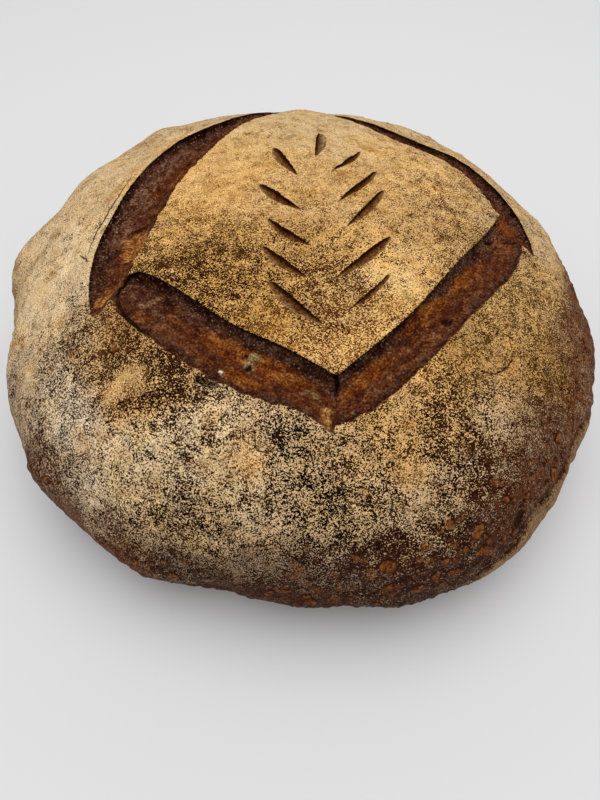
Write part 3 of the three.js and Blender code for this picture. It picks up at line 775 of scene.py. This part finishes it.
# Patches of crust: degrees round, hundredths of the way from the crown to the foot, reach
# in mm, tone under the flour, tone of the flour, and hundredths covered and of contrast
PATCHES = [
    (0, 0, 22, "toast", "straw", 66, 60), (85, 28, 30, "honey", "chalk", 78, 45),
    (144, 17, 24, "honey", "cream", 72, 50), (28, 30, 26, "walnut", "cream", 74, 65),
    (0, 34, 20, "walnut", "straw", 40, 80), (350, 22, 16, "walnut", "straw", 68, 80),
    (190, 20, 18, "toast", "cream", 72, 70), (212, 21, 14, "umber", "wheat", 22, 95),
    (230, 30, 14, "umber", "wheat", 31, 100), (243, 26, 14, "umber", "wheat", 42, 100),
    (258, 22, 14, "umber", "wheat", 48, 100), (270, 14, 14, "umber", "wheat", 54, 100),
    (291, 24, 14, "walnut", "straw", 30, 100), (304, 25, 9, "walnut", "butter", 100, 95),
    (318, 20, 12, "umber", "cream", 84, 100), (290, 34, 14, "caramel", "cream", 56, 95),
    (262, 32, 12, "caramel", "wheat", 50, 95), (160, 53, 26, "walnut", "bone", 88, 70),
    (186, 50, 24, "walnut", "ivory", 88, 80), (201, 60, 16, "walnut", "ivory", 97, 85),
    (209, 64, 16, "umber", "ash", 56, 100), (213, 70, 8, "umber", "ash", 56, 100),
    (211, 49, 12, "umber", "ivory", 60, 95), (219, 53, 12, "umber", "bone", 36, 100),
    (220, 44, 12, "walnut", "biscuit", 36, 95), (225, 58, 11, "umber", "frost", 64, 100),
    (236, 45, 12, "umber", "straw", 24, 95), (229, 69, 9, "umber", "ash", 36, 100),
    (236, 69, 9, "umber", "frost", 82, 100), (246, 62, 12, "umber", "ivory", 63, 100),
    (258, 53, 12, "umber", "ivory", 55, 100), (272, 51, 14, "char_and_crack_shade", "pith", 45, 100),
    (278, 57, 12, "char_and_crack_shade", "pith", 22, 100), (285, 50, 12, "umber", "straw", 54, 100),
    (272, 63, 12, "char_and_crack_shade", "pith", 58, 100), (253, 67, 12, "char_and_crack_shade", "pith", 42, 100),
    (248, 72, 7, "umber", "pith", 44, 100), (238, 71, 11, "umber", "ash", 43, 100),
    (242, 78, 10, "brick", "dun", 10, 90), (229, 78, 10, "brick", "dun", 22, 90),
    (250, 79, 11, "umber", "dun", 28, 98), (266, 74, 9, "umber", "dun", 40, 100),
    (273, 73, 9, "umber", "dun", 22, 100), (282, 73, 11, "maroon", "dun", 7, 100),
    (265, 85, 18, "sienna", "drab", 14, 70), (295, 76, 15, "maroon", "dun", 4, 100),
    (301, 77, 8, "maroon", "dun", 2, 100), (290, 61, 10, "umber", "pith", 68, 100),
    (299, 61, 8, "umber", "pith", 16, 100), (288, 67, 8, "umber", "pith", 14, 100),
    (309, 55, 11, "umber", "pith", 62, 100), (304, 50, 12, "umber", "straw", 28, 100),
    (304, 70, 14, "rust", "dun", 8, 100), (313, 63, 12, "rust", "dun", 15, 100),
    (316, 45, 14, "olive", "biscuit", 52, 95), (324, 55, 12, "olive", "biscuit", 31, 95),
    (344, 50, 14, "olive", "straw", 45, 95), (330, 45, 14, "olive", "straw", 44, 95),
    (3, 52, 20, "walnut", "bone", 80, 70), (335, 68, 20, "brick", "dun", 18, 90),
    (340, 60, 10, "brick", "dun", 3, 90), (355, 72, 24, "rust", "clay", 20, 50),
    (205, 82, 24, "sienna", "dun", 34, 70), (225, 86, 20, "sienna", "drab", 24, 80),
    (20, 55, 30, "toast", "bone", 70, 55), (60, 55, 34, "toast", "bone", 72, 55),
    (110, 55, 34, "toast", "bone", 72, 55), (30, 80, 34, "rust", "sand", 30, 50),
    (80, 82, 34, "sienna", "sand", 35, 50), (130, 82, 34, "sienna", "sand", 35, 50),
    (170, 78, 30, "walnut", "oat", 50, 50), (235, 49, 3.2, "toast", "straw", 92, 75),
    (262, 49, 4, "toast", "straw", 88, 75), (262, 52.5, 3.5, "toast", "straw", 80, 80),
    (290, 54, 3.5, "toast", "straw", 74, 70), (212, 58, 4, "honey", "ivory", 86, 60),
]
PATCH_DRIFT = 9                # mm by which the borders of the patches wander
LARGE_PATCH = 24               # mm, the reach of a patch that weighs 1
SMALL_WINS = 1.2               # how much more a smaller patch weighs, as a power
CLOUDING = 0.16                # how unevenly the flour covers the crust, as a share


def paint(crust, base):
    """Blends the patches into one colour under the flour, one of it, and its cover."""
    total = np.zeros(len(base))
    under, dust = np.zeros((len(base), 3)), np.zeros((len(base), 3))
    cover, grit = np.zeros(len(base)), np.zeros(len(base))
    drift = np.column_stack([noise(base, 22.0, seed) for seed in (71, 72, 73)])
    wandering = base + drift * PATCH_DRIFT
    for degrees, share, reach, low, high, covered, contrast in PATCHES:
        centre = surface_at(degrees, share / 100 * crust["total"])[0]
        far = ((wandering - centre) ** 2).sum(axis=1) / reach ** 2
        weight = (LARGE_PATCH / reach) ** SMALL_WINS * (np.exp(-far) + 1e-5 / (1 + far))
        total += weight
        under += weight[:, None] * linear(low)
        dust += weight[:, None] * linear(high)
        cover += weight * (covered / 100)
        grit += weight * (contrast / 100)
    crust["under"] = under / total[:, None]
    crust["dust"] = dust / total[:, None]
    cloud = rough_noise(base, 14.0, 81, 3)
    crust["cover"] = np.clip(cover / total + CLOUDING * cloud, 0.02, 0.98)
    crust["grit"] = np.clip(grit / total, 0, 1)


def add_ledge(crust, base):
    """A pale, floury ledge with a crease over it, darkened with painted shade."""
    degrees = np.degrees(crust["angle"]) % 360
    around, begins = np.array(LEDGE).T
    below = crust["arc"] / crust["total"] - np.interp(degrees, around, begins)
    below += LEDGE_SWAY * rough_noise(base, 7.0, 121, 3)
    near = smoothstep(degrees, around[0], around[1])
    near *= smoothstep(-degrees, -around[-1], -around[-2])
    pale = near * smoothstep(below, 0, 0.01) * smoothstep(-below, -0.15, -0.03)
    thin = rough_noise(base, 13.0, 131, 3) * smoothstep(below, 0.01, 0.05)
    pale *= np.clip(1 - 0.5 * thin, 0, 1)
    # Painted shade along the crease over the ledge
    crease = near * np.exp(-((below + CREASE_WIDTH) / CREASE_WIDTH) ** 2)
    for field, name in (("under", "hide"), ("dust", "fawn")):
        crust[field] += (linear(name) - crust[field]) * pale[:, None]
        crust[field] += (linear("blackish_red") - crust[field]) * 0.75 * crease[:, None]
    crust["cover"] += (0.5 - crust["cover"]) * pale
    crust["grit"] += (0.6 - crust["grit"]) * pale
    crust["lift"] *= 1 - LEDGE_CALM * pale
    crust["lift"] += LEDGE_RISE * pale - CREASE_DEPTH * crease


# ------------------------------------------------------------ the underside


def underside(edge_points):
    """Rings from the foot's edge to its middle, with fewer corners further in."""
    count = len(edge_points)
    spacing = FOOT_STEP / FOOT_RADIUS
    points, triangles = [], []
    outer, made, stride = np.arange(count), 0, 1
    for share in FOOT_RINGS + list(np.arange(0.935, spacing, -spacing)):
        wanted = 2 * math.pi * share * FOOT_RADIUS / FOOT_CORNER
        halve = len(outer) % 2 == 0 and len(outer) / 2 > wanted * 0.7
        stride *= 2 if halve else 1
        points.append(edge_points[::stride] * [share, share, 1])
        inner = count + made + np.arange(len(points[-1]))
        made += len(inner)
        after = np.roll(inner, -1)
        if halve:
            left, between, right = outer[::2], outer[1::2], np.roll(outer[::2], -1)
            trios = [(left, inner, between), (between, inner, after), (between, after, right)]
        else:
            right = np.roll(outer, -1)
            trios = [(outer, inner, right), (inner, after, right)]
        triangles += [np.column_stack(trio) for trio in trios]
        outer = inner
    points.append(np.zeros((1, 3)))
    middle = np.full(len(outer), count + made)
    triangles.append(np.column_stack([outer, middle, np.roll(outer, -1)]))
    return np.concatenate(points), np.concatenate(triangles)


# ------------------------------------------------------------ building the mesh

TOP_CHART = 0.455              # radius of the crust's disc on the texture sheet
FOOT_CHART = 0.128             # radius of the underside's disc

# What the underside's points carry for the material
FOOT_VALUES = {"cover": 0.25, "grit": 0.5, "blister": 0, "edge": FAR_OUT, "across": 0,
               "along": 0, "painted_lip_shade": 0, "brink": 0, "cut": OUT_OF_CUT, "cut_across": -1,
               "line": OFF_LINE, "line_width": 0, "tinted": 0}
FOOT_TONES = {"under": "sienna", "dust": "clay", "tint": "rust"}


def set_attribute(mesh, name, values):
    kind = "FLOAT_COLOR" if values.ndim == 2 else "FLOAT"
    attribute = mesh.attributes.new(name, kind, "POINT")
    if values.ndim == 2:
        values = np.column_stack([values, np.ones(len(values))])
        attribute.data.foreach_set("color", values.astype(np.float32).ravel())
    else:
        attribute.data.foreach_set("value", values.astype(np.float32))


def build_crust():
    crust = crust_grid()
    smooth = smooth_points(crust["angle"], crust["share"], crust["height"])
    crust["plan"] = smooth[:, :2]
    cut_gashes(crust)
    cut_leaf(crust)

    base = roughen(smooth)
    triangles = crust_triangles()
    normals = vertex_normals(base, triangles)
    moved = np.any(crust["plan"] != smooth[:, :2], axis=1) & (crust["arc"] < CROWN_ARC)
    base[moved] = crown_points(crust["plan"][moved])
    normals[moved] = crown_normals(crust["plan"][moved])
    add_relief(crust, base)
    paint(crust, base)
    add_ledge(crust, base)

    hold = smoothstep(base[:, 2], 0, 6)
    points = round_foot(base + normals * (crust["lift"] * hold)[:, None])
    points[first_of_ring(RINGS):, 2] = 0
    return crust, points, triangles


def vertex_normals(points, triangles):
    a, b, c = (points[triangles[:, i]] for i in range(3))
    faces = np.cross(b - a, c - a)
    normals = np.zeros_like(points)
    for i in range(3):
        for axis in range(3):
            normals[:, axis] += np.bincount(triangles[:, i], faces[:, axis], len(points))
    return normals / np.linalg.norm(normals, axis=1, keepdims=True)


def round_foot(points):
    low = np.clip(1 - points[:, 2] / FOOT_ROUND, 0, 1)
    inward = FOOT_ROUND * (1 - np.sqrt(1 - low ** 2 * 0.98))
    radius = np.hypot(points[:, 0], points[:, 1])
    scale = 1 - inward / np.maximum(radius, 1)
    return np.column_stack([points[:, :2] * scale[:, None], np.maximum(points[:, 2], 0)])


def make_loaf():
    crust, points, triangles = build_crust()
    edge = first_of_ring(RINGS)
    foot_points, foot_triangles = underside(points[edge:])
    everything = np.vstack([points, foot_points])
    faces = np.vstack([triangles, foot_triangles + edge])

    mesh = bpy.data.meshes.new("loaf_crust")
    mesh.vertices.add(len(everything))
    mesh.vertices.foreach_set("co", (everything * METRE).astype(np.float32).ravel())
    mesh.loops.add(faces.size)
    mesh.loops.foreach_set("vertex_index", faces.astype(np.int32).ravel())
    mesh.polygons.add(len(faces))
    mesh.polygons.foreach_set("loop_start", np.arange(0, faces.size, 3, dtype=np.int32))
    mesh.update(calc_edges=True)
    mesh.polygons.foreach_set("use_smooth", np.ones(len(faces), bool))

    below = len(foot_points)
    for name, value in FOOT_VALUES.items():
        set_attribute(mesh, name, np.concatenate([crust[name], np.full(below, value)]))
    for name, tone in FOOT_TONES.items():
        set_attribute(mesh, name, np.vstack([crust[name], np.tile(linear(tone), (below, 1))]))
    add_chart(mesh, crust, everything, faces, triangles.size)
    mesh.validate()

    loaf = bpy.data.objects.new("loaf_crust", mesh)
    bpy.context.scene.collection.objects.link(loaf)
    return loaf


def add_chart(mesh, crust, points, faces, top_count):
    """Lays the crust out as one disc and the underside as another, in a free corner."""
    reach = TOP_CHART * crust["arc"] / crust["total"]
    top_uv = TOP_CHART + np.column_stack([reach * np.cos(crust["angle"]),
                                          reach * np.sin(crust["angle"])])
    foot_uv = 1 - FOOT_CHART + points[:, :2] * FOOT_CHART / (DIAMETER / 2)
    loops = faces.ravel()
    uv = np.vstack([top_uv[loops[:top_count]], foot_uv[loops[top_count:]]])
    chart = mesh.uv_layers.new(name="OFBake")
    chart.data.foreach_set("uv", uv.astype(np.float32).ravel())


# ------------------------------------------------------------ material


class Nodes:
    """Short calls that add nodes to a material and link them."""

    def __init__(self, name):
        self.material = bpy.data.materials.new(name)
        self.material.use_nodes = True
        self.tree = self.material.node_tree
        self.tree.nodes.clear()

    def add(self, kind, inputs=(), **settings):
        node = self.tree.nodes.new(kind)
        for key, value in settings.items():
            setattr(node, key, value)
        for key, value in dict(inputs).items():
            if isinstance(value, bpy.types.NodeSocket):
                self.tree.links.new(value, node.inputs[key])
            else:
                node.inputs[key].default_value = value
        return node

    def attribute(self, name):
        node = self.add("ShaderNodeAttribute", attribute_name=name)
        return node.outputs["Color" if name in FOOT_TONES else "Fac"]

    def math(self, operation, first, second=0.0, third=0.0):
        node = self.add("ShaderNodeMath", {0: first, 1: second, 2: third},
                        operation=operation)
        return node.outputs[0]

    def times(self, first, second):
        return self.math("MULTIPLY", first, second)

    def swayed(self, value, grain, strength):
        """The value, moved up and down by a noise."""
        return self.math("MULTIPLY_ADD", self.math("SUBTRACT", grain, 0.5), strength, value)

    def ramp(self, value, low, high, to_low=0.0, to_high=1.0, kind="SMOOTHSTEP"):
        node = self.add("ShaderNodeMapRange", {0: value, 1: low, 2: high, 3: to_low, 4: to_high},
                        interpolation_type=kind)
        return node.outputs[0]

    def slope(self, value, low, high, to_low=0.0, to_high=1.0):
        return self.ramp(value, low, high, to_low, to_high, "LINEAR")

    def mix(self, share, first, second, blend="MIX"):
        node = self.add("ShaderNodeMix", {0: share, 6: first, 7: second},
                        data_type="RGBA", blend_type=blend)
        return node.outputs[2]

    def product(self, first, second):
        return self.mix(1.0, first, second, "MULTIPLY")

    def grain(self, where, scale, detail, rough=0.5, distortion=0.0):
        node = self.add("ShaderNodeTexNoise", {"Vector": where, "Scale": scale, "Detail": detail,
                                               "Roughness": rough, "Distortion": distortion})
        return node.outputs["Fac"]

    def grey(self, value):
        return self.add("ShaderNodeCombineColor", {0: value, 1: value, 2: value}).outputs[0]

    def browned(self, value):
        """A shade that goes from a deep red brown where low to a yellow one where high."""
        green, blue = self.math("POWER", value, 1.5), self.math("POWER", value, 1.8)
        return self.add("ShaderNodeCombineColor", {0: value, 1: green, 2: blue}).outputs[0]

    def tones(self, value, bands):
        node = self.add("ShaderNodeValToRGB", {0: value})
        ramp = node.color_ramp
        while len(ramp.elements) < len(bands):
            ramp.elements.new(0.5)
        for element, (place, name) in zip(ramp.elements, bands):
            element.position = place
            element.color = tone(name)
        return node.outputs[0]


WARM = (1.0, 0.94, 0.78, 1.0)          # what toasting does to the colour of the flour

# How fine each noise is, in cells to a metre
GRAIN = 2300                   # grains of flour
SHADE = 1500                   # their light and dark
FLECK = 1300                   # flecks on the torn floors
CLUMP = 1150                   # where the grains gather
MOTTLE = 520                   # spots of the bare crust
CRUMB = 420                    # raggedness of the torn floors' bands
PEBBLE = 300                   # lumps of the torn floors
DRIFT = 230                    # where the flour lies thicker
BARE = 210                     # which blisters are bare
BRUISE = 170                   # greenish brown places
CLOUD = 110                    # broad light and dark
TOAST = 105                    # toasted places
WARMTH = 85                    # warmer and cooler flour

# Colours across a torn floor from the lip, and across a leaf cut from its back, whose first band
# is painted shade under the back edge
FLOOR_BANDS = [(0.0, "umber"), (0.1, "maroon"), (0.24, "grape"), (0.42, "liver"),
               (0.56, "brick"), (0.66, "liver"), (0.8, "brick"), (0.92, "grape"),
               (1.0, "umber")]
CUT_BANDS = [(0.0, "painted_shade_black"), (0.14, "umber"), (0.3, "toast"), (0.6, "hide"), (1.0, "tan")]


def tone(name):
    return (*linear(name), 1.0)


def floured(n, place, cover):
    """Flour on the crust: the colour, the share of flour, and the crust's spots."""
    grit, under, dust = n.attribute("grit"), n.attribute("under"), n.attribute("dust")

    # Flour lies in grains: noise cut off at a level set by how much is covered
    clumping = n.ramp(grit, 0.5, 1, 0.22, 0.6)
    level = n.swayed(n.grain(place, GRAIN, 1.0, 0.6), n.grain(place, CLUMP, 1.0), clumping)
    level = n.swayed(level, n.grain(place, DRIFT, 2.0, 0.6), 0.5)
    bar = n.math("MULTIPLY_ADD", cover, -0.37, 0.69)
    soft = n.slope(grit, 0, 1, 0.14, 0.008)
    flour = n.ramp(level, n.math("SUBTRACT", bar, soft), n.math("ADD", bar, soft))

    # The crust between the grains is spotted, and toasted round them where they are yellow
    spotted = n.slope(n.grain(place, MOTTLE, 3.0, 0.8), 0.38, 0.62, 0.35, 1.8)
    under = n.product(under, n.browned(spotted))
    parts = n.add("ShaderNodeSeparateColor", {0: dust}).outputs
    blue_share = n.math("DIVIDE", parts["Blue"], parts["Red"])
    toasting = n.ramp(blue_share, 0.24, 0.38, 0.8, 0.0)
    rim = n.ramp(level, n.math("SUBTRACT", bar, 0.04), bar)
    under = n.mix(n.times(rim, toasting), under, tone("honey"))

    warmth = n.ramp(n.grain(place, WARMTH, 2.0, 0.6), 0.38, 0.62)
    dust = n.mix(n.times(warmth, 0.75), dust, n.product(dust, WARM))
    shade = n.slope(n.grain(place, SHADE, 2.0, 0.7), 0.35, 0.65, 0.62, 1.22)
    patchy = n.slope(n.grain(place, CLOUD, 3.0, 0.6), 0.3, 0.7, 0.86, 1.1)
    colour = n.product(n.mix(flour, under, dust), n.grey(n.times(shade, patchy)))

    # Soft brown clouds on the flour
    toasted = n.ramp(n.grain(place, TOAST, 3.0, 0.62), 0.5, 0.72)
    colour = n.mix(n.times(toasted, n.ramp(cover, 0.4, 0.7, 0, 0.45)), colour, tone("honey"))
    bruised = n.ramp(n.grain(place, BRUISE, 2.0, 0.6), 0.6, 0.72)
    colour = n.mix(n.times(bruised, n.ramp(cover, 0.3, 0.6, 0, 0.45)), colour, tone("moss"))
    return colour, flour, spotted


def blistered(n, place, cover, colour, spotted):
    """Blisters are barer and more orange than what lies round them, with a dark rim."""
    blister = n.attribute("blister")
    some = n.ramp(n.grain(place, BARE, 1.0), 0.4, 0.62, 0.3, 1.0)
    bare = n.times(n.ramp(cover, 0.2, 0.5, 1, 0.2), some)
    russet = n.product(tone("russet"), n.browned(spotted))
    colour = n.mix(n.times(n.ramp(blister, 0.08, 0.4), bare), colour, russet)
    moat = n.times(n.ramp(blister, 0.0, 0.05), n.ramp(blister, 0.08, 0.25, 1, 0))
    return n.mix(n.times(moat, bare), colour, tone("umber"))


def torn_floor(n, place, cover, fleck):
    """The torn floor of a gash: strands along it, flecks, and painted shade under the lip."""
    across = n.attribute("across")
    strand_at = n.add("ShaderNodeCombineXYZ", {
        0: n.times(n.attribute("along"), 0.14), 1: n.times(across, 9.0), 2: cover})
    streak = n.grain(strand_at.outputs[0], 1.0, 3.0, 0.6, 0.6)
    crumb = n.grain(place, CRUMB, 4.0, 0.75)
    colour = n.tones(n.swayed(n.swayed(across, streak, 0.55), crumb, 0.5), FLOOR_BANDS)
    tinted = n.swayed(n.swayed(n.attribute("tinted"), crumb, 0.9), streak, 0.5)
    colour = n.mix(n.ramp(tinted, 0.1, 0.9, 0, 0.9), colour, n.attribute("tint"))
    stripe = n.slope(streak, 0.36, 0.64, 0.6, 1.4)
    colour = n.product(colour, n.browned(n.times(fleck, stripe)))
    dusted = n.ramp(n.grain(place, FLECK, 1.0), 0.66, 0.7)
    dusted = n.times(dusted, n.ramp(across, 0.1, 0.6, 0.8, 0.12))
    colour = n.mix(dusted, colour, tone("dun"))
    colour = n.mix(n.ramp(n.attribute("brink"), 0.15, 0.8), colour, tone("blackish_red"))
    # Painted shade: the floor under the lip is darkened to near black
    return n.mix(n.ramp(n.attribute("painted_lip_shade"), 0.2, 1.0), colour, tone("painted_shade_black"))


def line_share(n):
    """How far a place lies in a crack or crease, which is darkened with painted shade."""
    width = n.attribute("line_width")
    off_line = n.math("ABSOLUTE", n.attribute("line"))
    within = n.math("SUBTRACT", n.times(width, 0.5), off_line)
    return n.times(n.ramp(within, -0.15, 0.1), n.ramp(width, 0.0, 0.25))


def crust_material():
    n = Nodes("floured_crust")
    place = n.add("ShaderNodeTexCoord").outputs["Object"]
    cover = n.attribute("cover")
    colour, flour, spotted = floured(n, place, cover)
    colour = blistered(n, place, cover, colour, spotted)

    pebble = n.slope(n.grain(place, PEBBLE, 3.0, 0.7), 0.36, 0.64, 0.62, 1.36)
    fleck = n.slope(n.grain(place, FLECK, 1.0, 0.7), 0.34, 0.66, 0.5, 1.55)
    fleck = n.times(pebble, fleck)
    in_gash = n.ramp(n.attribute("edge"), -0.25, 0.15)
    colour = n.mix(in_gash, colour, torn_floor(n, place, cover, fleck))

    # The leaf's cuts: painted shade under the back edge, browned on the slope
    sliced = n.tones(n.slope(n.attribute("cut_across"), -1, 1), CUT_BANDS)
    sliced = n.product(sliced, n.browned(fleck))
    colour = n.mix(n.ramp(n.attribute("cut"), -0.12, 0.08), colour, sliced)
    # Painted shade in the cracks and creases
    colour = n.mix(n.times(line_share(n), 0.8), colour, tone("char_and_crack_shade"))

    rough = n.slope(flour, 0, 1, 0.6, 0.92)
    rough = n.math("MULTIPLY_ADD", in_gash, -0.12, rough)
    dots = n.grain(place, SHADE, 3.0, 0.65)
    height = n.math("MULTIPLY_ADD", flour, 0.6, n.times(dots, 0.8))
    bump = n.add("ShaderNodeBump", {"Strength": 0.6, "Distance": 0.0003, "Height": height})
    shader = n.add("ShaderNodeBsdfPrincipled", {
        "Base Color": colour, "Roughness": rough, "Normal": bump.outputs[0]})
    shader.inputs["Specular IOR Level"].default_value = 0.03
    n.add("ShaderNodeOutputMaterial", {"Surface": shader.outputs[0]})
    return n.material


# ------------------------------------------------------------ stage, light and camera

CAMERA_PLACE = (2.24, -194.9, 238.65)   # mm
CAMERA_TILT = 36.0                      # degrees up from looking straight down
FOCAL_SHARE = 602 / 800                 # focal length over the picture's longer side
SENSOR = 36.0                           # mm
CLIP_START = 0.01                       # m
FLOOR_REACH = 4.0                       # m from the middle to each side
FLOOR_COLOUR = (0.73, 0.73, 0.735, 1)
SKY_STRENGTH = 0.64
WINDOW_PLACE = (0.05, 0.0, 1.2)         # m
WINDOW_AIM = (0, 0, 0.05)               # m
WINDOW_SIZE = 1.2                       # m across
WINDOW_POWER = 8                        # W


def make_stage():
    floor_mesh = bpy.data.meshes.new("floor")
    corners = [(-FLOOR_REACH, -FLOOR_REACH, 0), (FLOOR_REACH, -FLOOR_REACH, 0),
               (FLOOR_REACH, FLOOR_REACH, 0), (-FLOOR_REACH, FLOOR_REACH, 0)]
    floor_mesh.from_pydata(corners, [], [(0, 1, 2, 3)])
    floor = bpy.data.objects.new("floor", floor_mesh)
    bpy.context.scene.collection.objects.link(floor)
    n = Nodes("pale_table")
    shader = n.add("ShaderNodeBsdfPrincipled", {"Roughness": 0.75})
    shader.inputs["Base Color"].default_value = FLOOR_COLOUR
    shader.inputs["Specular IOR Level"].default_value = 0.1
    n.add("ShaderNodeOutputMaterial", {"Surface": shader.outputs[0]})
    floor_mesh.materials.append(n.material)

    world = bpy.data.worlds.new("studio")
    bpy.context.scene.world = world
    world.use_nodes = True
    background = world.node_tree.nodes["Background"]
    background.inputs["Color"].default_value = (1, 1, 1, 1)
    background.inputs["Strength"].default_value = SKY_STRENGTH


def make_window():
    """A broad, soft lamp overhead, like a skylight."""
    light = bpy.data.lights.new("window", "AREA")
    light.shape = "DISK"
    light.size = WINDOW_SIZE
    light.energy = WINDOW_POWER
    lamp = bpy.data.objects.new("window", light)
    lamp.location = WINDOW_PLACE
    facing = Vector(WINDOW_AIM) - Vector(WINDOW_PLACE)
    lamp.rotation_euler = facing.to_track_quat("-Z", "Y").to_euler()
    bpy.context.scene.collection.objects.link(lamp)


def make_camera():
    data = bpy.data.cameras.new("camera")
    data.sensor_width = SENSOR
    data.lens = SENSOR * FOCAL_SHARE
    data.clip_start = CLIP_START
    camera = bpy.data.objects.new("camera", data)
    camera.location = Vector(CAMERA_PLACE) * METRE
    camera.rotation_euler = (math.radians(CAMERA_TILT), 0, 0)
    bpy.context.scene.collection.objects.link(camera)
    bpy.context.scene.camera = camera


make_stage()
make_window()
make_camera()
bpy.context.scene.view_settings.view_transform = "Standard"

loaf = make_loaf()
loaf.data.materials.append(crust_material())
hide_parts("loaf")
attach(loaf, "root")
